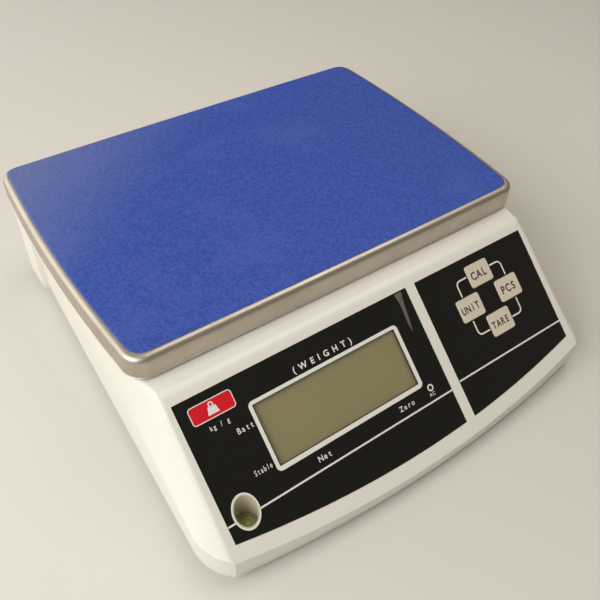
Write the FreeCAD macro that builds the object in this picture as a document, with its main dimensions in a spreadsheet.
"""Table-top digital gram scale, as an assembly of separate pieces.

Frame: origin at the centre of the scale's footprint on the table, +X to the user's right, +Y away from
the user, +Z up, millimetres. Pieces of the sloping front panel are drawn flat, with X to the right, Y up
the slope and Z out of the panel, and are then placed on the slope.
"""
import FreeCAD, Part
import math
import os

import Sketcher
from FreeCAD import Placement, Rotation, Vector

doc = FreeCAD.newDocument("gram_scale")
sheet = doc.addObject("Spreadsheet::Sheet", "Dims")
subparts = []


# ---------------------------------------------------------------- sizes

class Size:
    """A length that carries both its value and the spreadsheet formula that gives it."""

    def __init__(self, value, formula):
        self.value = float(value)
        self.formula = formula

    def __add__(self, other):
        other = size(other)
        return Size(self.value + other.value, "(%s + %s)" % (self.formula, other.formula))

    def __sub__(self, other):
        other = size(other)
        return Size(self.value - other.value, "(%s - %s)" % (self.formula, other.formula))

    def __mul__(self, other):
        other = size(other)
        return Size(self.value * other.value, "(%s * %s)" % (self.formula, other.formula))

    def __truediv__(self, other):
        other = size(other)
        return Size(self.value / other.value, "(%s / %s)" % (self.formula, other.formula))

    def __neg__(self):
        return Size(-self.value, "(-1 * %s)" % self.formula)

    def __radd__(self, other):
        return size(other) + self

    def __rsub__(self, other):
        return size(other) - self

    def __rmul__(self, other):
        return size(other) * self


def size(number):
    """A plain number as a Size."""
    if isinstance(number, Size):
        return number
    return Size(number, "(%.6f)" % number)


def dim(alias, value):
    """A driving dimension: one aliased cell of the sheet."""
    row = dim.row
    dim.row += 1
    sheet.set("A%d" % row, alias)
    sheet.set("B%d" % row, str(value))
    sheet.setAlias("B%d" % row, alias)
    return Size(value, "Dims.%s" % alias)


dim.row = 1

# Housing
overall_height = dim("overall_height", 115)
base_level = dim("base_level", 7.5)
base_plate = dim("base_plate", 3)
parting_gap = dim("parting_gap", 0.5)
wall = dim("wall", 2.8)
deck_level = dim("deck_level", 94.8)
front_apex = dim("front_apex", 175)
front_bow = dim("front_bow", 12.5)
front_half_width = dim("front_half_width", 157.1)
side_half_front = dim("side_half_front", 170.6)
side_half_rear = dim("side_half_rear", 157.8)
side_front = dim("side_front", 134)
side_rear = dim("side_rear", 136)
front_corner_radius = dim("front_corner_radius", 36)
pod_half_width = dim("pod_half_width", 161.7)
rear_face = dim("rear_face", 175)
rear_corner_radius = dim("rear_corner_radius", 10)
ridge_radius = dim("ridge_radius", 12)
shoulder_radius = dim("shoulder_radius", 5)

# Front panel
panel_slope = dim("panel_slope", 38.58)
panel_top_back = dim("panel_top_back", 82.9)
panel_top_level = dim("panel_top_level", 89.3)
panel_rise = dim("panel_rise", 0.6)
overlay_sheet = dim("overlay_sheet", 0.8)
overlay_half_width = dim("overlay_half_width", 152.1)
overlay_corner_depth = dim("overlay_corner_depth", 91.8)
overlay_centre_depth = dim("overlay_centre_depth", 106.7)
overlay_corner = dim("overlay_corner", 0.8)
divider_left = dim("divider_left", 34.5)
divider_right = dim("divider_right", 42.4)
window_left = dim("window_left", 105.6)
window_right = dim("window_right", 11.2)
window_top = dim("window_top", 22)
window_bottom = dim("window_bottom", 64.6)

# Pan
pan_centre = dim("pan_centre", 50)
pan_half_width = dim("pan_half_width", 170.2)
pan_half_depth = dim("pan_half_depth", 113)
pan_bow = dim("pan_bow", 5.5)
pan_front_bow = dim("pan_front_bow", 0.9)
pan_corner = dim("pan_corner", 14)
pan_edge_radius = dim("pan_edge_radius", 4.5)
pan_sheet = dim("pan_sheet", 0.9)
pan_skirt = dim("pan_skirt", 17.7)
hem_depth = dim("hem_depth", 1.5)
film_sheet = dim("film_sheet", 0.3)
film_margin = dim("film_margin", 4.8)

# Weighing works
cell_length = dim("cell_length", 140)
cell_width = dim("cell_width", 32)
cell_height = dim("cell_height", 34)
riser_height = dim("riser_height", 39)
riser_length = dim("riser_length", 35)
steel_plate = dim("steel_plate", 2.5)
spacer_height = dim("spacer_height", 11)
spider_height = dim("spider_height", 12)
spider_reach = dim("spider_reach", 122)
spider_spread = dim("spider_spread", 72)
bumper_height = dim("bumper_height", 4.8)

# Controls
key_width = dim("key_width", 22)
key_depth = dim("key_depth", 17)
key_pitch = dim("key_pitch", 20)
key_corner = dim("key_corner", 1.8)
key_centre_x = dim("key_centre_x", 99.3)
key_centre_depth = dim("key_centre_depth", 35.5)
level_x = dim("level_x", 137.5)
level_front = dim("level_front", 143.6)
level_bore = dim("level_bore", 9)
lamp_x = dim("lamp_x", 18.6)
lamp_depth = dim("lamp_depth", 71)
lamp_radius = dim("lamp_radius", 1.6)

# Power
battery_length = dim("battery_length", 100)
battery_width = dim("battery_width", 70)
battery_height = dim("battery_height", 47)
battery_left = dim("battery_left", 122)
battery_front = dim("battery_front", 88)
switch_x = dim("switch_x", 115)
jack_x = dim("jack_x", 85)
socket_level = dim("socket_level", 40)
socket_recess = dim("socket_recess", 4)

# Feet and fixings
foot_x = dim("foot_x", 138)
foot_front = dim("foot_front", 112)
foot_rear = dim("foot_rear", 148)
foot_pad_radius = dim("foot_pad_radius", 13)
foot_pad_height = dim("foot_pad_height", 4.5)
foot_thread_radius = dim("foot_thread_radius", 3)
board_sheet = dim("board_sheet", 1.6)

floor_top = base_level + base_plate
cell_bottom = floor_top + steel_plate + riser_height
cell_top = cell_bottom + cell_height
spider_bottom = cell_top + spacer_height
pan_top = overall_height - film_sheet
PANEL = Placement(
    Vector(0, -panel_top_back.value, panel_top_level.value),
    Rotation(Vector(1, 0, 0), panel_slope.value),
)
SIDES = (("left", -1), ("right", 1))


# ---------------------------------------------------------------- drawing helpers

def bind(obj, prop, number):
    """Set a property of obj from a Size, by expression, or from a plain number."""
    if isinstance(number, Size):
        obj.setExpression(prop, number.formula)
    else:
        setattr(obj, prop, number)


def place(obj, at, rotation=None):
    """Put obj's origin at a point whose coordinates may be Sizes."""
    values = [size(part).value for part in at]
    obj.Placement = Placement(Vector(*values), rotation or Rotation())
    for axis, part in zip("xyz", at):
        if isinstance(part, Size):
            obj.setExpression("Placement.Base.%s" % axis, part.formula)
    return obj


def block(name, lengths, corner, rotation=None):
    """A box from its lowest corner."""
    obj = doc.addObject("Part::Box", name)
    for prop, number in zip(("Length", "Width", "Height"), lengths):
        bind(obj, prop, number)
    return place(obj, corner, rotation)


def centred_block(name, lengths, centre_bottom):
    """A box from the centre of its lowest face."""
    x, y, z = centre_bottom
    return block(name, lengths, (x - size(lengths[0]) / 2, y - size(lengths[1]) / 2, z))


def rod(name, radius, length, start, axis="Z"):
    """A cylinder from the centre of its first face, along an axis."""
    turns = {"Z": Rotation(), "X": Rotation(Vector(0, 1, 0), 90), "Y": Rotation(Vector(1, 0, 0), -90)}
    obj = doc.addObject("Part::Cylinder", name)
    bind(obj, "Radius", radius)
    bind(obj, "Height", length)
    return place(obj, start, turns[axis])


def joined(name, shapes):
    obj = doc.addObject("Part::MultiFuse", name)
    obj.Shapes = shapes
    return obj


def common(name, shapes):
    obj = doc.addObject("Part::MultiCommon", name)
    obj.Shapes = shapes
    return obj


def cut(name, base, tools):
    obj = doc.addObject("Part::Cut", name)
    obj.Base = base
    obj.Tool = tools[0] if len(tools) == 1 else joined(name + "_tools", tools)
    return obj


def group(name, shapes):
    """Separate solids that share one node."""
    obj = doc.addObject("Part::Compound", name)
    obj.Links = shapes
    return obj


def bulged(start, end, radius):
    """The middle of an arc that leaves the straight line to the right of its direction."""
    chord = end - start
    half = chord.Length / 2
    rise = abs(radius) - math.sqrt(radius * radius - half * half)
    right = Vector(chord.y, -chord.x, 0).normalize()
    return (start + end) * 0.5 + right * math.copysign(rise, radius)


def outline(name, corners, arcs=None, at=(0, 0, 0), rotation=None, sketch=None):
    """A closed sketch through corners; arcs gives the radius of the edge that follows a corner."""
    arcs = arcs or {}
    sketch = sketch or place(doc.addObject("Sketcher::SketchObject", name), at, rotation)
    points = [Vector(size(x).value, size(y).value, 0) for x, y in corners]
    count = len(points)
    for i, start in enumerate(points):
        end = points[(i + 1) % count]
        if i in arcs:
            sketch.addGeometry(Part.Arc(start, bulged(start, end, size(arcs[i]).value), end))
        else:
            sketch.addGeometry(Part.LineSegment(start, end))
    first = {}
    last = {}
    for i, start in enumerate(points):
        edge = sketch.Geometry[i]
        forward = (edge.StartPoint - start).Length < 1e-6
        first[i] = 1 if forward else 2
        last[i] = 2 if forward else 1
    for i in range(count):
        following = (i + 1) % count
        sketch.addConstraint(Sketcher.Constraint("Coincident", i, last[i], following, first[following]))
        for kind, number in zip(("DistanceX", "DistanceY"), corners[i]):
            number = size(number)
            index = sketch.addConstraint(Sketcher.Constraint(kind, i, first[i], number.value))
            sketch.setExpression("Constraints[%d]" % index, number.formula)
        if i in arcs:
            sketch.addConstraint(Sketcher.Constraint("Radius", i, sketch.Geometry[i].Radius))
    return sketch


def extrude(name, sketch, length):
    obj = doc.addObject("Part::Extrusion", name)
    obj.Base = sketch
    obj.DirMode = "Normal"
    obj.Solid = True
    bind(obj, "LengthFwd", length)
    return obj


def rounded_rectangle(left, right, bottom, top, radius):
    """Corners and arcs of a rectangle with rounded corners, counter-clockwise."""
    corners = [
        (left + radius, bottom), (right - radius, bottom),
        (right, bottom + radius), (right, top - radius),
        (right - radius, top), (left + radius, top),
        (left, top - radius), (left, bottom + radius),
    ]
    return corners, {1: radius, 3: radius, 5: radius, 7: radius}


def padded_body(name, corners, arcs, height, level=0.0):
    """A PartDesign body: one sketch on its XY plane, padded."""
    body = doc.addObject("PartDesign::Body", name)
    sketch = body.newObject("Sketcher::SketchObject", name + "_sketch")
    plane = [item for item in body.Origin.OriginFeatures if item.Role == "XY_Plane"][0]
    sketch.AttachmentSupport = [(plane, "")]
    sketch.MapMode = "FlatFace"
    sketch.AttachmentOffset = Placement(Vector(0, 0, level), Rotation())
    outline(name, corners, arcs, sketch=sketch)
    pad = body.newObject("PartDesign::Pad", name + "_pad")
    pad.Profile = sketch
    bind(pad, "Length", height)
    doc.recompute()
    return body


def soften(body, name, radius, chosen):
    """A PartDesign fillet on the edges that chosen() accepts."""
    tip = body.Tip
    names = ["Edge%d" % (i + 1) for i, edge in enumerate(tip.Shape.Edges) if chosen(edge)]
    fillet = body.newObject("PartDesign::Fillet", name)
    fillet.Base = (tip, names)
    bind(fillet, "Radius", radius)
    doc.recompute()
    return body


def rounded(name, base, radius, chosen):
    """A Part fillet on the edges that chosen() accepts."""
    doc.recompute()
    edges = [i + 1 for i, edge in enumerate(base.Shape.Edges) if chosen(edge)]
    fillet = doc.addObject("Part::Fillet", name)
    fillet.Base = base
    fillet.Edges = [(index, radius, radius) for index in edges]
    doc.recompute()
    return fillet


def lies_at(level):
    """Whether an edge lies wholly in the plane Z = level."""
    return lambda edge: abs(edge.BoundBox.ZMin - level) < 1e-3 and abs(edge.BoundBox.ZMax - level) < 1e-3


def subpart(obj, label, placement=None):
    """Register obj as one named piece."""
    obj.Label = label
    if placement is not None:
        obj.Placement = placement
    subparts.append(obj)
    return obj


def screw(name, head_radius, head_height, shank_radius, shank_length, at, up=True):
    """A pan-head screw with its head's seat at a point, its shank going up or down from it."""
    x, y, z = at
    z = size(z)
    slot = head_radius * 0.45
    if up:
        head = rod(name + "_head", head_radius, head_height, (x, y, z - head_height))
        shank = rod(name + "_shank", shank_radius, shank_length, (x, y, z))
        recess = rod(name + "_recess", slot, head_height * 0.6, (x, y, z - head_height))
    else:
        head = rod(name + "_head", head_radius, head_height, (x, y, z))
        shank = rod(name + "_shank", shank_radius, shank_length, (x, y, z - shank_length))
        recess = rod(name + "_recess", slot, head_height * 0.6, (x, y, z + head_height * 0.4))
    return cut(name, joined(name + "_blank", [head, shank]), [recess])


def tube(name, points, radius, bend):
    """A round lead: straight runs joined by tangent arcs of radius bend."""
    route = [Vector(*[size(part).value for part in point]) for point in points]
    edges = []
    start = route[0]
    for before, corner, after in zip(route, route[1:], route[2:]):
        into = (corner - before).normalize()
        out = (after - corner).normalize()
        turn = into.getAngle(out)
        back = bend * math.tan(turn / 2)
        first = corner - into * back
        second = corner + out * back
        inward = (out - into).normalize()
        middle = corner + inward * (bend / math.cos(turn / 2) - bend)
        edges.append(Part.LineSegment(start, first).toShape())
        edges.append(Part.Arc(first, middle, second).toShape())
        start = second
    edges.append(Part.LineSegment(start, route[-1]).toShape())
    path = Part.Wire(edges)
    section = Part.Wire(Part.Circle(route[0], route[1] - route[0], radius).toShape())
    obj = doc.addObject("Part::Feature", name)
    obj.Shape = path.makePipeShell([section], True, True)
    return obj


# ---------------------------------------------------------------- the housing's outer and inner volumes

def panel_level(y, rise):
    """Height of the sloping panel at a distance y, with its face raised by rise."""
    slope = math.radians(panel_slope.value)
    return panel_top_level.value + rise / math.cos(slope) + math.tan(slope) * (y + panel_top_back.value)


def plan_outline(name, inset, at):
    """The housing seen from above: bowed front, tapering sides, square pods at the rear corners."""
    right = [
        (front_half_width - inset, -front_apex + front_bow + inset),
        (side_half_front - inset, -side_front),
        (side_half_rear - inset, side_rear),
        (pod_half_width - inset, side_rear + 2),
        (pod_half_width - inset, rear_face - rear_corner_radius),
        (pod_half_width - rear_corner_radius, rear_face - inset),
    ]
    left = [(-x, y) for x, y in reversed(right)]
    bow_radius = (front_half_width * front_half_width + front_bow * front_bow) / (front_bow * 2)
    arcs = {
        0: front_corner_radius - inset,
        4: rear_corner_radius - inset,
        6: rear_corner_radius - inset,
        10: front_corner_radius - inset,
        11: bow_radius,
    }
    return outline(name, right + left, arcs, at=at)


def profile_outline(name, inset, bottom):
    """The housing seen from its right side: sloping panel, rounded ridge, flat deck."""
    slope = math.radians(panel_slope.value)
    rise = (panel_rise.value - inset.value) / math.cos(slope)
    steep = math.tan(slope)
    deck = deck_level - inset
    foot_of_slope = -panel_top_back + (bottom - panel_top_level - rise) / steep
    corner = -panel_top_back + (deck - panel_top_level - rise) / steep
    tangent = (ridge_radius - inset) * math.tan(slope / 2)
    corners = [
        (rear_face + 5, bottom),
        (rear_face + 5, deck),
        (corner + tangent, deck),
        (corner - tangent * math.cos(slope), deck - tangent * math.sin(slope)),
        (foot_of_slope, bottom),
    ]
    edge = rear_face.value + 5
    sweep = Rotation(Vector(1, 1, 1), 120)
    return outline(name, corners, {2: ridge_radius - inset}, at=(-edge, 0, 0), rotation=sweep)


# Along the side wall: distance y, level of the crease, half-width of the shoulder above it.
SIDE_STATIONS = (
    (-178, 15, 158.4),
    (-162, 20, 158.4),
    (-150, 24.8, 158.4),
    (-137, 29.8, 158.4),
    (-110, 37.2, 158.4),
    (-86, 44.5, 158.3),
    (-76, 47.0, 157.9),
    (-66, 49.2, 159.8),
    (-53, 51.8, 163.0),
    (-35, 54, 163.8),
    (0, 55, 162.4),
    (44, 56, 160.8),
    (138, 70, 160.4),
    (190, 70, 160.4),
)
TRIM_EDGE = 215.0
TRIM_TOP = 140.0
TRIM_CLEAR = 0.12


def wall_half_width(y):
    """Half-width of the housing's straight side wall at a distance y."""
    share = (y + side_front.value) / (side_rear.value + side_front.value)
    return side_half_front.value + (side_half_rear.value - side_half_front.value) * share


def side_trim(name, inset, sign):
    """Everything outside the leaning upper side wall and its rounded shoulder, as one loft."""
    radius = shoulder_radius.value - inset / 2
    wires = []
    for y, crease_z, shoulder_x in SIDE_STATIONS:
        crease_x = max(wall_half_width(y), pod_half_width.value)
        top = min(panel_level(y, panel_rise.value - inset), deck_level.value - inset) + TRIM_CLEAR
        crease = Vector(crease_x - inset, 0, crease_z)
        shoulder = Vector(shoulder_x - inset, 0, top)
        lean = (shoulder - crease).normalize()
        low = crease - lean * 4.0
        turn = lean.getAngle(Vector(-1, 0, 0))
        back = radius * math.tan(turn / 2)
        below = shoulder - lean * back
        level = shoulder + Vector(-back, 0, 0)
        inward = (Vector(-1, 0, 0) - lean).normalize()
        middle = shoulder + inward * (radius / math.cos(turn / 2) - radius)
        ring = [low, below, middle, level, Vector(level.x, 0, TRIM_TOP), Vector(TRIM_EDGE, 0, TRIM_TOP),
                Vector(TRIM_EDGE, 0, low.z)]
        low, below, middle, level, top_in, top_out, low_out = [Vector(sign * p.x, y, p.z) for p in ring]
        wires.append(Part.Wire([
            Part.LineSegment(low, below).toShape(),
            Part.Arc(below, middle, level).toShape(),
            Part.LineSegment(level, top_in).toShape(),
            Part.LineSegment(top_in, top_out).toShape(),
            Part.LineSegment(top_out, low_out).toShape(),
            Part.LineSegment(low_out, low).toShape(),
        ]))
    obj = doc.addObject("Part::Feature", name)
    obj.Shape = Part.makeLoft(wires, True, True)
    return obj


def housing_volume(name, inset, bottom):
    plan = extrude(name + "_plan", plan_outline(name + "_plan_sketch", inset, (0, 0, bottom)), deck_level)
    profile = extrude(
        name + "_profile",
        profile_outline(name + "_profile_sketch", inset, bottom),
        (rear_face + 5) * 2,
    )
    trims = [side_trim(name + "_trim_" + side, inset.value, sign) for side, sign in SIDES]
    return cut(name, common(name + "_blank", [plan, profile]), trims)


def on_panel(name, shapes):
    """Shapes drawn flat, joined and placed on the sloping panel."""
    tools = joined(name, shapes)
    tools.Placement = PANEL
    return tools


# ---------------------------------------------------------------- front panel outlines, drawn flat

def overlay_outline(name, left, right, clearance, level):
    """An overlay between two sides: straight top, bottom edge on the housing's front bow."""
    half = overlay_half_width
    sag = overlay_centre_depth - overlay_corner_depth
    bow_radius = (half * half + sag * sag) / (sag * 2)

    def depth(x):
        drop = math.sqrt(bow_radius.value ** 2 - x.value ** 2) - bow_radius.value
        return overlay_centre_depth + drop

    left = left + clearance
    right = right - clearance
    top = size(-clearance)
    corners = [
        (left, -depth(left) + clearance),
        (right, -depth(right) + clearance),
        (right, top - overlay_corner),
        (right - overlay_corner, top),
        (left + overlay_corner, top),
        (left, top - overlay_corner),
    ]
    arcs = {0: bow_radius, 2: overlay_corner, 4: overlay_corner}
    return outline(name, corners, arcs, at=(0, 0, level))


def panel_rectangle(name, left, right, top, bottom, corner, level, height):
    """A rounded rectangle on the panel; top and bottom are distances down the slope."""
    corners, arcs = rounded_rectangle(left, right, -bottom, -top, size(corner))
    return extrude(name, outline(name + "_sketch", corners, arcs, at=(0, 0, level)), height)


LEFT_OVERLAY = (-overlay_half_width, divider_left)
RIGHT_OVERLAY = (divider_right, overlay_half_width)
KEYS = (
    ("calibrate_key", 0, 1),
    ("count_key", 1, 0),
    ("tare_key", 0, -1),
    ("unit_key", -1, 0),
)
KEY_GAP = 0.3
OVERLAY_GAP = 0.15
LEVEL_GAP = 0.1
WINDOW_CORNER = 2.5
PANE_GAP = 0.1
STUD_RADIUS = 2.5
STUD_INSET = 4
STUD_TOP = -1.6
STUD_SCREW = 0.9


class PanelBoard:
    """A circuit board behind the panel: its sides, its distances down the slope, and its rear face."""

    def __init__(self, name, left, right, top, bottom, back):
        self.name = name
        self.sides = (size(left), size(right), size(top), size(bottom))
        self.back = back
        self.front = back + board_sheet.value
        self.studs = [(x, -depth) for depth in (top + STUD_INSET, bottom - STUD_INSET)
                      for x in (left + STUD_INSET, right - STUD_INSET)]

    def card(self):
        """The board itself, drilled over its studs."""
        blank = panel_rectangle(self.name + "_card", *self.sides, 2, self.back, board_sheet)
        holes = [rod("%s_card_hole_%d" % (self.name, i), STUD_SCREW + 0.1, 6, (x, y, self.back - 2))
                 for i, (x, y) in enumerate(self.studs)]
        return cut(self.name + "_card_drilled", blank, holes)

    def stud_solids(self):
        """Studs under the panel that the board is screwed to."""
        studs = []
        for i, (x, y) in enumerate(self.studs):
            name = "%s_stud_%d" % (self.name, i)
            post = rod(name + "_post", STUD_RADIUS, STUD_TOP - self.front, (x, y, self.front))
            pilot = rod(name + "_pilot", STUD_SCREW + 0.05, 3, (x, y, self.front))
            stud = cut(name, post, [pilot])
            stud.Placement = PANEL
            studs.append(stud)
        return studs

    def screws(self):
        return [screw("%s_screw_%d" % (self.name, i), 2.2, 1.4, STUD_SCREW, 4.4, (x, y, self.back))
                for i, (x, y) in enumerate(self.studs)]


DISPLAY_BOARD = PanelBoard("display", -122, 28, 10, 76, -12.0)
KEYPAD_BOARD = PanelBoard("keypad", 66, 133, 6, 66, -8.4)
LCD_FACE = -2.4
LCD_DEPTH = 2.8
LCD_MARGIN = 3.5
FRAME_EDGE = 1.5
LIGHT_DEPTH = 3.0


def key_centre(across, up):
    return key_centre_x + key_pitch * across, -key_centre_depth + key_pitch * up


# ---------------------------------------------------------------- housing

FOOT_PLACES = (
    ("front_left", -foot_x, -foot_front),
    ("front_right", foot_x, -foot_front),
    ("rear_left", -foot_x, foot_rear),
    ("rear_right", foot_x, foot_rear),
)
HOUSING_SCREWS = ((-151, -88), (151, -88), (-150, 62), (150, 62), (-60, 165), (60, 165), (0, -142))
BOARD = (-56, 56, -64, 12)
BOARD_POSTS = ((-50, -58), (50, -58), (-50, 6), (50, 6))
BOARD_LEVEL = 9.0
BOSS_RADIUS = 4.5
POST_HEIGHT = 10.0
RIM_HEIGHT = 4.5
SCREW_RADIUS = 1.6
DECK_HOLE = (30, 75, 27, 73)
SOCKET_BLOCK = (70, 134, 26, 54)
STOP_PLACE = (cell_length / 2 - 12, pan_centre, floor_top)
STOP_POST_RADIUS = 8
STOP_POST_HEIGHT = 22
DOOR_SCREW_PLACES = (-battery_left - 2.5, -battery_left + battery_length + 2.5)
SWITCH_CUTOUT = (19.4, 13.2)
JACK_RADIUS = 5.0


def upper_housing():
    """White moulded cover with its deck, sloping panel, screw bosses and openings."""
    outer = housing_volume("cover_outer", size(0), floor_top + parting_gap)
    inner = housing_volume("cover_inner", wall, size(2))
    shell = cut("cover_shell", outer, [inner])

    bosses = []
    for i, (x, y) in enumerate(HOUSING_SCREWS):
        foot = floor_top + POST_HEIGHT
        bosses.append(rod("cover_boss_%d" % i, BOSS_RADIUS, deck_level - foot, (x, y, foot)))
    left, right, low, high = SOCKET_BLOCK
    bosses.append(block("cover_socket_pad", (right - left, 6, high - low), (left, rear_face - 8, low)))
    bosses.append(rod("cover_level_sleeve", level_bore + 2, deck_level, (-level_x, -level_front, 12)))
    bosses += DISPLAY_BOARD.stud_solids() + KEYPAD_BOARD.stud_solids()
    ribs = common("cover_ribs", [outer, joined("cover_bosses", bosses)])
    body = joined("cover_body", [shell, ribs])

    flat = []
    floor = -overlay_sheet
    for name, (x0, x1) in (("left", LEFT_OVERLAY), ("right", RIGHT_OVERLAY)):
        sketch = overlay_outline("recess_%s_sketch" % name, x0, x1, 0.0, floor)
        flat.append(extrude("recess_%s" % name, sketch, 6))
    flat.append(panel_rectangle("window_hole", -window_left, window_right, window_top, window_bottom,
                                WINDOW_CORNER, -4, 6))
    for name, across, up in KEYS:
        x, y = key_centre(across, up)
        flat.append(rod(name + "_hole", 3.5, 6, (x, y, -4)))
    flat.append(rod("lamp_hole", lamp_radius, 6, (lamp_x, -lamp_depth, -4)))
    x0, x1, y0, y1 = DECK_HOLE
    tools = [
        on_panel("panel_openings", flat),
        block("deck_hole", (x1 - x0, y1 - y0, 20), (x0, y0, deck_level - 10)),
        rod("level_hole", level_bore, 60, (-level_x, -level_front, 11)),
    ]
    for i, (x, y) in enumerate(HOUSING_SCREWS):
        tools.append(rod("cover_pilot_%d" % i, SCREW_RADIUS, 14, (x, y, floor_top + POST_HEIGHT)))
    pocket = 3.0
    tools.append(block(
        "socket_pocket",
        (right - left - 2 * pocket, socket_recess + 1, high - low - 2 * pocket),
        (left + pocket, rear_face - socket_recess, low + pocket),
    ))
    wide, tall = SWITCH_CUTOUT
    corner = (switch_x - wide / 2, rear_face - 12, socket_level - tall / 2)
    tools.append(block("switch_hole", (wide, 12, tall), corner))
    tools.append(rod("jack_hole", JACK_RADIUS, 12, (jack_x, rear_face - 12, socket_level), "Y"))
    return cut("upper_housing", body, tools)


def lower_housing():
    """Base tray: floor, lap rim, ribs, screw posts, foot bosses and the battery opening."""
    sheet_part = extrude("tray_floor", plan_outline("tray_sketch", size(0), (0, 0, base_level)), base_plate)
    lap = wall + 0.3
    rim_outline = plan_outline("rim_outer_sketch", lap, (0, 0, floor_top))
    rim_opening = plan_outline("rim_inner_sketch", lap + 2, (0, 0, floor_top))
    rim_inner = extrude("rim_inner", rim_opening, RIM_HEIGHT + 1)
    parts = [sheet_part, cut("rim", extrude("rim_outer", rim_outline, RIM_HEIGHT), [rim_inner])]
    for i, y in enumerate((-115, -75, 15, 82)):
        parts.append(block("rib_across_%d" % i, (300, 2, 5), (-150, y, floor_top)))
    for i, x in enumerate((-128, -100, 105, 128)):
        parts.append(block("rib_along_%d" % i, (2, 196, 5), (x, -114, floor_top)))
    for i, (x, y) in enumerate(HOUSING_SCREWS):
        parts.append(rod("post_%d" % i, BOSS_RADIUS, POST_HEIGHT, (x, y, floor_top)))
    for name, x, y in FOOT_PLACES:
        parts.append(rod("foot_boss_" + name, 8, 17, (x, y, base_level)))
    parts.append(rod("stop_post", STOP_POST_RADIUS, STOP_POST_HEIGHT, STOP_PLACE))
    for i, (x, y) in enumerate(BOARD_POSTS):
        parts.append(rod("board_post_%d" % i, 3, BOARD_LEVEL, (x, y, floor_top)))
    battery_middle = battery_front + battery_width / 2
    for i, x in enumerate((-battery_left - 5, -battery_left + battery_length + 5)):
        parts.append(centred_block("strap_post_%d" % i, (9, 12, 6), (x, battery_middle, floor_top)))
    body = joined("tray_body", parts)

    tools = [
        block("battery_hole", (battery_length - 8, battery_width - 8, 12),
              (-battery_left + 4, battery_front + 4, base_level - 2)),
        block("battery_door_seat", (battery_length + 10, battery_width + 4, 3.5),
              (-battery_left - 5, battery_front - 2, base_level - 2)),
        block("plate_seat", (122, 46, 6), (-76, pan_centre - 23, floor_top)),
        rod("level_floor_hole", 4, 10, (-level_x, -level_front, base_level - 2)),
    ]
    for i, (x, y) in enumerate(HOUSING_SCREWS):
        tools.append(rod("post_hole_%d" % i, SCREW_RADIUS + 0.2, 30, (x, y, base_level - 1)))
        tools.append(rod("head_hole_%d" % i, 3.6, 6, (x, y, base_level - 1)))
    for name, x, y in FOOT_PLACES:
        tools.append(rod("foot_hole_" + name, 5, 30, (x, y, base_level - 1)))
    for i, (x, y) in enumerate(BOARD_POSTS):
        tools.append(rod("board_pilot_%d" % i, 1, 7, (x, y, floor_top + 3)))
    x, y, z = STOP_PLACE
    tools.append(rod("stop_thread", 3, 40, (x, y, base_level - 2)))
    for i, place_x in enumerate(DOOR_SCREW_PLACES):
        tools.append(rod("door_pilot_%d" % i, 1.3, 6, (place_x, battery_middle, base_level - 1)))
    body = cut("tray_cut", body, tools)
    collar = rod("stop_ring", STOP_POST_RADIUS, STOP_POST_HEIGHT, STOP_PLACE)
    collar = cut("stop_collar", collar, [rod("stop_bore", 3, 30, (x, y, z - 2))])
    return joined("lower_housing", [body, collar])


def build_housing():
    subpart(upper_housing(), "upper_housing")
    subpart(lower_housing(), "lower_housing")
    screws = []
    for i, (x, y) in enumerate(HOUSING_SCREWS):
        screws.append(screw("housing_screw_%d" % i, 3.2, 2, SCREW_RADIUS, 17, (x, y, base_level + 5)))
    subpart(group("housing_screws", screws), "housing_screws")


# ---------------------------------------------------------------- front panel pieces

def build_overlays():
    left_sketch = overlay_outline("display_sheet_sketch", *LEFT_OVERLAY, OVERLAY_GAP, -overlay_sheet)
    left = extrude("display_sheet", left_sketch, overlay_sheet)
    window = panel_rectangle("display_opening", -window_left, window_right, window_top, window_bottom,
                             WINDOW_CORNER, -2, 4)
    lamp = rod("lamp_opening", lamp_radius, 4, (lamp_x, -lamp_depth, -2))
    left = cut("display_overlay_flat", left, [window, lamp])
    left.Placement = PANEL
    eye = rod("level_opening", level_bore + LEVEL_GAP, 60, (-level_x, -level_front, 11))
    subpart(cut("display_overlay", left, [eye]), "display_overlay")

    right_sketch = overlay_outline("keypad_sheet_sketch", *RIGHT_OVERLAY, OVERLAY_GAP, -overlay_sheet)
    right = extrude("keypad_sheet", right_sketch, overlay_sheet)
    openings = []
    for name, across, up in KEYS:
        x, y = key_centre(across, up)
        half_width = key_width / 2 + KEY_GAP
        half_depth = key_depth / 2 + KEY_GAP
        openings.append(panel_rectangle(name + "_opening", x - half_width, x + half_width, -y - half_depth,
                                        -y + half_depth, key_corner + KEY_GAP, -2, 4))
    subpart(cut("keypad_overlay", right, openings), "keypad_overlay", PANEL)

    pane = panel_rectangle("pane", -window_left + PANE_GAP, window_right - PANE_GAP, window_top + PANE_GAP,
                           window_bottom - PANE_GAP, WINDOW_CORNER, -overlay_sheet, overlay_sheet)
    subpart(pane, "display_window", PANEL)


def build_keys():
    """Moulded key caps with the stems that reach their switches."""
    for name, across, up in KEYS:
        half_width = key_width / 2
        half_depth = key_depth / 2
        corners, arcs = rounded_rectangle(-half_width, half_width, -half_depth, half_depth, key_corner)
        body = padded_body(name + "_body", corners, arcs, 1.2, -0.3)
        soften(body, name + "_edge", 0.35, lies_at(0.9))
        stem = rod(name + "_stem", 3, 3.2, (0, 0, -3.4))
        cap = joined(name, [body, stem])
        x, y = key_centre(across, up)
        subpart(cap, name, PANEL.multiply(Placement(Vector(x.value, y.value, 0), Rotation())))


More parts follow.
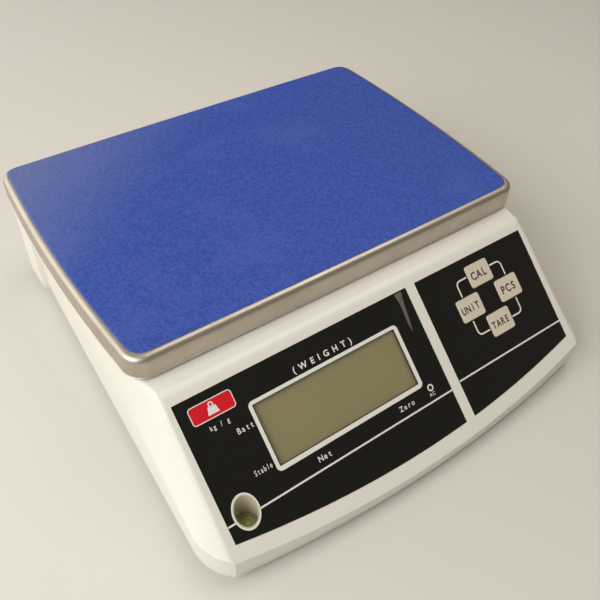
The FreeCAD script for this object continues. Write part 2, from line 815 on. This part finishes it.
def build_display():
    face = LCD_FACE
    back = face - LCD_DEPTH
    left = -window_left - LCD_MARGIN
    right = window_right + LCD_MARGIN
    top = window_top - LCD_MARGIN
    bottom = window_bottom + LCD_MARGIN
    glass = panel_rectangle("glass", left, right, top, bottom, 0.8, back, LCD_DEPTH)
    subpart(glass, "lcd_glass", PANEL)
    light = panel_rectangle("light", left, right, top, bottom, 0.8, back - LIGHT_DEPTH, LIGHT_DEPTH)
    subpart(light, "lcd_backlight", PANEL)
    board_top = DISPLAY_BOARD.front
    ring = panel_rectangle("ring", left - FRAME_EDGE, right + FRAME_EDGE, top - FRAME_EDGE,
                           bottom + FRAME_EDGE, 3, board_top, face - board_top)
    hollow = panel_rectangle("hollow", left, right, top, bottom, 0.8, back - LIGHT_DEPTH, 20)
    below = panel_rectangle("below", left + 3, right - 3, top + 3, bottom - 3, 1, board_top - 1, 20)
    subpart(cut("lcd_frame", ring, [hollow, below]), "lcd_frame", PANEL)

    back = DISPLAY_BOARD.back
    chips = [
        centred_block("display_driver", (22, 14, 2), (-80, -44, back - 2)),
        centred_block("display_socket", (18, 6, 5), (-20, -30, back - 5)),
    ]
    subpart(DISPLAY_BOARD.card(), "display_board", PANEL)
    subpart(group("display_chips", chips), "display_chips", PANEL)


def build_keypad():
    top = KEYPAD_BOARD.front
    switches = []
    for name, across, up in KEYS:
        x, y = key_centre(across, up)
        base = centred_block(name + "_switch_base", (6, 6, 2.2), (x, y, top))
        button = rod(name + "_switch_button", 1.7, 0.75, (x, y, top + 2.2))
        switches.append(joined(name + "_switch", [base, button]))
    subpart(group("key_switches", switches), "key_switches", PANEL)
    subpart(KEYPAD_BOARD.card(), "keypad_board", PANEL)
    subpart(group("board_screws", DISPLAY_BOARD.screws() + KEYPAD_BOARD.screws()), "board_screws", PANEL)

    lens = rod("lamp_lens", lamp_radius - 0.05, 7.5, (lamp_x, -lamp_depth, -7.4))
    flange = rod("lamp_flange", lamp_radius + 0.6, 1.2, (lamp_x, -lamp_depth, -7.4))
    lead = centred_block("lamp_leads", (2.4, 0.5, 3.0), (lamp_x, -lamp_depth, -10.4))
    subpart(joined("power_lamp", [lens, flange, lead]), "power_lamp", PANEL)


LEVEL_LIP = 0.15
VIAL_RADIUS = 7.5
VIAL_FLOOR = 15.5
WELL_RADIUS = 5.8


def build_level():
    """Bubble level at the bottom of a sleeve that opens through the panel."""
    centre = (-level_x, -level_front)
    tall = rod("holder_outer", level_bore - 0.1, 60, (*centre, 13))
    bore = rod("holder_bore", level_bore - 1.4, 60, (*centre, VIAL_FLOOR))
    above = block("holder_trim", (60, 60, 60), (0, 0, 0))
    above.Placement = PANEL.multiply(Placement(Vector(-level_x.value - 30, -108, LEVEL_LIP), Rotation()))
    subpart(cut("level_holder", tall, [bore, above]), "level_holder")

    cup = rod("vial_outer", VIAL_RADIUS, 9.5, (*centre, VIAL_FLOOR))
    well = rod("vial_well", WELL_RADIUS, 6.5, (*centre, VIAL_FLOOR + 1.5))
    subpart(cut("level_vial", cup, [well]), "level_vial")
    pool = rod("level_pool", WELL_RADIUS, 6.5, (*centre, VIAL_FLOOR + 1.5))
    air = rod("level_air", 2.2, 1.4, (*centre, 22.1))
    subpart(cut("level_fluid", pool, [air]), "level_fluid")


# ---------------------------------------------------------------- weighing works

CELL_EYE_X = 17


def build_cell():
    left = -cell_length / 2
    plate = block("seat_plate", (120, 44, steel_plate), (-75, pan_centre - 22, floor_top))
    stop_x, stop_y, _ = STOP_PLACE
    plate = cut("cell_base_plate", plate, [rod("plate_stop_hole", 9, 10, (stop_x, stop_y, floor_top - 1))])
    subpart(plate, "cell_base_plate")
    riser = block("riser_block", (riser_length, cell_width, riser_height),
                  (left, pan_centre - cell_width / 2, floor_top + steel_plate))
    bolts = [(left + 9, pan_centre), (left + 26, pan_centre)]
    riser_bores = [rod("riser_bore_%d" % i, 3.2, 80, (x, y, 5)) for i, (x, y) in enumerate(bolts)]
    subpart(cut("cell_riser", riser, riser_bores), "cell_riser")

    half_length = cell_length / 2
    half_width = cell_width / 2
    corners, arcs = rounded_rectangle(-half_length, half_length, -half_width, half_width, size(1))
    bar = padded_body("cell_bar", corners, arcs, cell_height)
    bar.Placement = Placement(Vector(0, pan_centre.value, cell_bottom.value), Rotation())
    middle = cell_bottom + cell_height / 2
    near = pan_centre - cell_width
    eyes = [rod("cell_eye_%d" % i, 9, cell_width * 2, (side * CELL_EYE_X, near, middle), "Y")
            for i, side in enumerate((-1, 1))]
    slot = block("cell_slot", (CELL_EYE_X * 2, cell_width * 2, 5), (-CELL_EYE_X, near, middle - 2.5))
    bores = [rod("cell_bore_%d" % i, 3.2, 100, (x, y, 5)) for i, (x, y) in enumerate(bolts)]
    free = [(cell_length / 2 - 9, pan_centre), (cell_length / 2 - 26, pan_centre)]
    bores += [rod("free_bore_%d" % i, 3.2, 60, (x, y, cell_bottom + 12)) for i, (x, y) in enumerate(free)]
    subpart(cut("load_cell", bar, eyes + [slot] + bores), "load_cell")

    bolt_length = cell_top - floor_top - steel_plate
    cell_bolts = [screw("cell_bolt_%d" % i, 5, 5, 3, bolt_length, (x, y, cell_top), False)
                  for i, (x, y) in enumerate(bolts)]
    subpart(group("cell_base_bolts", cell_bolts), "cell_base_bolts")

    stop_gap = 0.8
    stem = rod("stop_stem", 2.95, cell_bottom - stop_gap - 12, (stop_x, stop_y, 12))
    nut = rod("stop_nut", 5.5, 4, (stop_x, stop_y, floor_top + STOP_POST_HEIGHT))
    subpart(joined("overload_stop", [stem, nut]), "overload_stop")

    glue = block("gauge_cover", (30, 0.8, 20), (-15, pan_centre - cell_width / 2 - 0.8, middle - 10))
    subpart(glue, "cell_gauge_cover")
    return free


SPACER_LENGTH = 35
BUMPER_RADIUS = 7.5
BUMPER_NOSE = 1.5


def build_spider(free):
    """Cast cross that carries the pan, bolted through a spacer to the free end of the load cell."""
    right = cell_length / 2
    spacer = block("spacer_block", (SPACER_LENGTH, cell_width, spacer_height),
                   (right - SPACER_LENGTH, pan_centre - cell_width / 2, cell_top))
    spacer = cut("spider_spacer", spacer, [rod("spacer_bore_%d" % i, 3.2, 40, (x, y, cell_top - 5))
                                           for i, (x, y) in enumerate(free)])
    subpart(spacer, "spider_spacer")

    hub_height = spider_height / 2
    hub = block("spider_hub", (150, 66, hub_height), (-75, pan_centre - 33, spider_bottom))
    parts = [hub]
    pads = []
    length = math.hypot(spider_reach.value, spider_spread.value)
    angle = math.degrees(math.atan2(spider_spread.value, spider_reach.value))
    for i, turn in enumerate((angle, 180 - angle, 180 + angle, -angle)):
        arm = block("spider_arm_%d" % i, (length, 14, spider_height - 2), (0, 0, 0))
        spin = Rotation(Vector(0, 0, 1), turn)
        start = Vector(0, pan_centre.value, spider_bottom.value)
        arm.Placement = Placement(start + spin.multVec(Vector(0, -7, 0)), spin)
        tip = start + spin.multVec(Vector(length, 0, 0))
        pads.append(tip)
        parts.append(arm)
        parts.append(rod("spider_pad_%d" % i, 11, spider_height, (tip.x, tip.y, spider_bottom)))
    for i, y in enumerate((20, 76)):
        parts.append(block("spider_web_%d" % i, (130, 3, spider_height - 2), (-65, y, spider_bottom)))
    body = joined("spider_body", parts)
    tools = []
    for i, (x, y) in enumerate(free):
        tools.append(rod("spider_bore_%d" % i, 3.2, 40, (x, y, spider_bottom - 5)))
        tools.append(rod("spider_seat_%d" % i, 6, 20, (x, y, spider_bottom + hub_height)))
    for i, x in enumerate((-45, -10)):
        tools.append(rod("spider_window_%d" % i, 11, 20, (x, pan_centre, spider_bottom - 2)))
    subpart(cut("pan_spider", body, tools), "pan_spider")
    bolts = [screw("spider_bolt_%d" % i, 5, 3.5, 3, spider_bottom + hub_height - cell_bottom - 16,
                   (x, y, spider_bottom + hub_height), False) for i, (x, y) in enumerate(free)]
    subpart(group("spider_bolts", bolts), "spider_bolts")
    bumpers = []
    top = spider_bottom + spider_height
    for i, tip in enumerate(pads):
        base = rod("bumper_%d_base" % i, BUMPER_RADIUS, bumper_height - BUMPER_NOSE, (tip.x, tip.y, top))
        nose = doc.addObject("Part::Cone", "bumper_%d_nose" % i)
        nose.Radius1 = BUMPER_RADIUS
        nose.Radius2 = BUMPER_RADIUS - BUMPER_NOSE
        nose.Height = BUMPER_NOSE
        place(nose, (tip.x, tip.y, top + bumper_height - BUMPER_NOSE))
        bumpers.append(joined("bumper_%d" % i, [base, nose]))
    subpart(group("pan_bumpers", bumpers), "pan_bumpers")


# ---------------------------------------------------------------- pan and film

def bowed_outline(name, half_x, half_y, bow_x, bow_y, corner, level):
    """A rectangle with gently bowed sides and tangent round corners, about the pan's centre."""
    span_x = half_x - bow_x
    span_y = half_y - bow_y
    side = (half_y * half_y + bow_x * bow_x) / (bow_x * 2)
    front = (half_x * half_x + bow_y * bow_y) / (bow_y * 2)
    centre_x = (span_x - corner).value
    centre_y = (span_y - corner).value
    side_reach = (side - corner).value
    front_reach = (front - corner).value
    for _ in range(20):
        centre_x = half_x.value - side.value + math.sqrt(side_reach ** 2 - centre_y ** 2)
        centre_y = half_y.value - front.value + math.sqrt(front_reach ** 2 - centre_x ** 2)
    lean_x = math.asin(centre_y / side_reach)
    lean_y = math.asin(centre_x / front_reach)
    on_side = (centre_x + corner.value * math.cos(lean_x), centre_y + corner.value * math.sin(lean_x))
    on_front = (centre_x + corner.value * math.sin(lean_y), centre_y + corner.value * math.cos(lean_y))
    corners = [
        (on_side[0], -on_side[1]), (on_side[0], on_side[1]),
        (on_front[0], on_front[1]), (-on_front[0], on_front[1]),
        (-on_side[0], on_side[1]), (-on_side[0], -on_side[1]),
        (-on_front[0], -on_front[1]), (on_front[0], -on_front[1]),
    ]
    arcs = {0: side, 1: corner, 2: front, 3: corner, 4: side, 5: corner, 6: front, 7: corner}
    return outline(name, corners, arcs, at=(0, pan_centre, level))


def pan_solid(name, inset, top, height, edge_radius):
    """A bowed block with its upper edge rounded."""
    sketch = bowed_outline(name + "_sketch", pan_half_width - inset, pan_half_depth - inset, pan_bow,
                           pan_front_bow, pan_corner - inset, top - height)
    solid = extrude(name + "_block", sketch, height)
    return rounded(name, solid, edge_radius, lies_at(size(top).value))


def build_pan():
    bottom = pan_top - pan_skirt
    outer = pan_solid("pan_outer", size(0), pan_top, pan_skirt, pan_edge_radius.value)
    inner_radius = (pan_edge_radius - pan_sheet).value
    inner = pan_solid("pan_inner", pan_sheet, pan_top - pan_sheet, pan_skirt + 5, inner_radius)
    shell = cut("pan_shell", outer, [inner])
    hem_out = pan_solid("hem_out", size(0), bottom + 2.5, 2.5, 0.2)
    hem_in = pan_solid("hem_in", hem_depth, bottom + 4, 8, 0.2)
    subpart(joined("weighing_pan", [shell, cut("pan_hem", hem_out, [hem_in])]), "weighing_pan")

    sketch = bowed_outline("film_sketch", pan_half_width - film_margin, pan_half_depth - film_margin,
                           pan_bow - 0.1, pan_front_bow, pan_corner - film_margin + 1, pan_top)
    subpart(extrude("pan_film", sketch, film_sheet), "pan_film")


# ---------------------------------------------------------------- electronics and power

LEAD_RADIUS = 1.5


def build_main_board():
    x0, x1, y0, y1 = BOARD
    level = floor_top + BOARD_LEVEL
    card = block("main_card", (x1 - x0, y1 - y0, board_sheet), (x0, y0, level))
    card = cut("main_card_drilled", card, [rod("main_card_hole_%d" % i, 1.1, 8, (x, y, level - 2))
                                           for i, (x, y) in enumerate(BOARD_POSTS)])
    subpart(card, "main_board")
    top = level + board_sheet
    parts = [
        centred_block("controller", (14, 14, 1.6), (0, -20, top)),
        centred_block("converter", (8, 10, 2), (22, -8, top)),
        centred_block("cell_socket", (12, 6, 7), (38, 2, top)),
        centred_block("display_header", (18, 6, 7), (-20, -52, top)),
        centred_block("battery_socket", (8, 7, 7), (-44, -6, top)),
        rod("reservoir_0", 5, 12, (-34, -30, top)),
        rod("reservoir_1", 5, 12, (-20, -30, top)),
        rod("buzzer", 6, 6, (30, -36, top)),
    ]
    subpart(group("main_board_parts", parts), "main_board_parts")
    screws = [screw("card_screw_%d" % i, 2.6, 1.8, 1.0, board_sheet + 4, (x, y, top), False)
              for i, (x, y) in enumerate(BOARD_POSTS)]
    subpart(group("main_board_screws", screws), "main_board_screws")


def build_power():
    x = -battery_left
    y = battery_front
    case = block("battery_case", (battery_length, battery_width, battery_height - 3), (x, y, floor_top))
    lid = block("battery_lid", (battery_length, battery_width, 3), (x, y, floor_top + battery_height - 3))
    subpart(joined("battery", [case, lid]), "battery")
    top = floor_top + battery_height
    tabs = [centred_block("battery_tab_%d" % i, (0.8, 4.8, 6), (x + 12, y + offset, top))
            for i, offset in enumerate((16, battery_width - 16))]
    subpart(group("battery_tabs", tabs), "battery_tabs")

    middle = y + battery_width / 2 - 6
    strap = [
        block("strap_top", (battery_length + 3, 12, 1.5), (x - 1.5, middle, top)),
        block("strap_left", (1.5, 12, battery_height - 6), (x - 1.5, middle, floor_top + 6)),
        block("strap_right", (1.5, 12, battery_height - 6), (x + battery_length, middle, floor_top + 6)),
        block("strap_foot_left", (9.5, 12, 1.5), (x - 9.5, middle, floor_top + 6)),
        block("strap_foot_right", (9.5, 12, 1.5), (x + battery_length, middle, floor_top + 6)),
    ]
    subpart(joined("battery_strap", strap), "battery_strap")

    door = block("door_plate", (battery_length + 9.4, battery_width + 3.4, 1.5),
                 (x - 4.7, y - 1.7, base_level))
    row = y + battery_width / 2
    holes = [rod("door_hole_%d" % i, 1.5, 6, (place_x, row, base_level - 2))
             for i, place_x in enumerate(DOOR_SCREW_PLACES)]
    grip_left = x + battery_length / 2 - 15
    grip = [block("door_grip_%d" % i, (30, 1.5, 0.8), (grip_left, y + 6 + 4 * i, base_level - 0.2))
            for i in range(3)]
    subpart(cut("battery_door", door, holes + grip), "battery_door")
    screws = [screw("door_screw_%d" % i, 2.4, 1.2, 1.3, 4, (place_x, row, base_level), True)
              for i, place_x in enumerate(DOOR_SCREW_PLACES)]
    subpart(group("battery_door_screws", screws), "battery_door_screws")


SWITCH_FLANGE = (21, 15)
ROCKER_RADIUS = 7.2
ROCKER_HEIGHT = 9.4
ROCKER_TILT = 8.0
ROCKER_CROWN = 2.2
ROCKER_GAP = 0.35


def build_switch():
    """Rocker switch in the rear wall; the rocker rests tilted to its off side."""
    floor = rear_face - socket_recess
    pivot = (switch_x, floor - 0.5, socket_level)
    wide, tall = SWITCH_FLANGE
    corner = (switch_x - wide / 2, floor, socket_level - tall / 2)
    flange = block("switch_flange", (wide, 1.5, tall), corner)
    body = block("switch_case", (19, 18.5, 12.8), (switch_x - 9.5, floor - 18.5, socket_level - 6.4))
    pins = [block("switch_pin_%d" % i, (0.8, 7, 4.8), (switch_x + shift, floor - 25.5, socket_level - 2.4))
            for i, shift in enumerate((-5, 4))]
    cavity = rod("switch_cavity", ROCKER_RADIUS + ROCKER_GAP, ROCKER_HEIGHT + 2 * ROCKER_GAP,
                 (pivot[0], pivot[1], socket_level - ROCKER_HEIGHT / 2 - ROCKER_GAP))
    subpart(cut("power_switch", joined("switch_body", [flange, body] + pins), [cavity]), "power_switch")

    barrel = rod("rocker_barrel", ROCKER_RADIUS, ROCKER_HEIGHT, (0, 0, -ROCKER_HEIGHT / 2))
    faces = []
    for i, sign in enumerate((-1, 1)):
        spin = Rotation(Vector(0, 0, 1), sign * ROCKER_TILT)
        face = block("rocker_face_%d" % i, (40, 10, 20), (0, 0, 0))
        face.Placement = Placement(spin.multVec(Vector(-20, ROCKER_CROWN, -10)), spin)
        faces.append(face)
    back = block("rocker_back", (40, 10, 20), (-20, -13.5, -10))
    rocker = cut("rocker_blank", barrel, [common("rocker_crown", faces), back])
    centre = Vector(*[size(part).value for part in pivot])
    rocker.Placement = Placement(centre, Rotation(Vector(0, 0, 1), ROCKER_TILT))
    subpart(rocker, "power_rocker")


def build_jack():
    floor = rear_face - socket_recess
    flange = rod("jack_flange", 6.5, 1.2, (jack_x, floor, socket_level), "Y")
    barrel = rod("jack_barrel", 4.9, 14, (jack_x, floor - 14, socket_level), "Y")
    bore = rod("jack_bore", 2.8, 12, (jack_x, floor - 8.8, socket_level), "Y")
    pin = rod("jack_pin", 1.0, 9.3, (jack_x, floor - 9.3, socket_level), "Y")
    jack = joined("jack_body", [cut("jack_shell", joined("jack_solid", [flange, barrel]), [bore]), pin])
    subpart(jack, "dc_jack")


def build_leads():
    """Inside wiring: the load cell's lead and the battery's lead, each to its socket on the main board."""
    board = floor_top + BOARD_LEVEL + board_sheet
    cell = [
        (-12, pan_centre - 16.8, 62), (-12, 18, 62), (38, 12, 44),
        (38, 2, board + 18), (38, 2, board + 7),
    ]
    subpart(tube("cell_lead", cell, LEAD_RADIUS, 6), "load_cell_lead")
    tab = floor_top + battery_height + 3.5
    battery = [
        (-110, 101.6, tab), (-110, 30, tab), (-80, -6, 46),
        (-44, -6, board + 24), (-44, -6, board + 7),
    ]
    subpart(tube("battery_lead", battery, LEAD_RADIUS, 6), "battery_lead")


# ---------------------------------------------------------------- levelling feet

FLUTES = 12
FLUTE_RING = 11.4


def build_feet():
    inserts = []
    for name, x, y in FOOT_PLACES:
        sleeve = rod("insert_sleeve_" + name, 5, 14.5, (x, y, base_level + 2.5))
        bore = rod("insert_bore_" + name, foot_thread_radius + 0.06, 40, (x, y, 0))
        inserts.append(cut("insert_" + name, sleeve, [bore]))

        disc = rod("pad_disc_" + name, foot_pad_radius, foot_pad_height, (x, y, 0))
        socket = rod("pad_socket_" + name, 4.06, 10, (x, y, 1.5))
        pad = cut("pad_" + name, disc, [socket])
        subpart(pad, "foot_pad_" + name)

        ball = rod("spindle_ball_" + name, 4, 3, (x, y, 1.5))
        wheel = rod("spindle_wheel_" + name, 11, 2.4, (x, y, foot_pad_height + 0.2))
        thread = rod("spindle_thread_" + name, foot_thread_radius, 22.5, (x, y, 1.5))
        neck = rod("spindle_neck_" + name, 3.6, 3, (x, y, 2.5))
        flutes = []
        for i in range(FLUTES):
            turn = math.tau * i / FLUTES
            at = (x + FLUTE_RING * math.cos(turn), y + FLUTE_RING * math.sin(turn), foot_pad_height - 0.5)
            flutes.append(rod("flute_%s_%d" % (name, i), 1, 4, at))
        spindle = joined("spindle_" + name, [ball, neck, thread, cut("fluted_" + name, wheel, flutes)])
        subpart(spindle, "foot_screw_" + name)
    subpart(group("foot_inserts", inserts), "foot_inserts")


# ---------------------------------------------------------------- assembly

def check_document():
    """Stop if any object failed, or any piece has no valid shape."""
    doc.recompute()
    for obj in doc.Objects:
        if "Invalid" in obj.State or "Error" in obj.State:
            raise RuntimeError("%s failed: %s" % (obj.Name, obj.State))
    for obj in subparts:
        if obj.Shape.isNull() or not obj.Shape.isValid() or not obj.Shape.Solids:
            raise RuntimeError("%s has no valid solid" % obj.Label)


def write_parts():
    os.makedirs("parts", exist_ok=True)
    for obj in subparts:
        obj.Shape.exportStep("parts/%s.step" % obj.Label)
        print("%-24s solids %2d  volume %10.1f" % (obj.Label, len(obj.Shape.Solids), obj.Shape.Volume))
    print(len(subparts), "pieces")


build_housing()
build_overlays()
build_keys()
build_display()
build_keypad()
build_level()
build_spider(build_cell())
build_pan()
build_main_board()
build_power()
build_switch()
build_jack()
build_leads()
build_feet()
check_document()
write_parts()
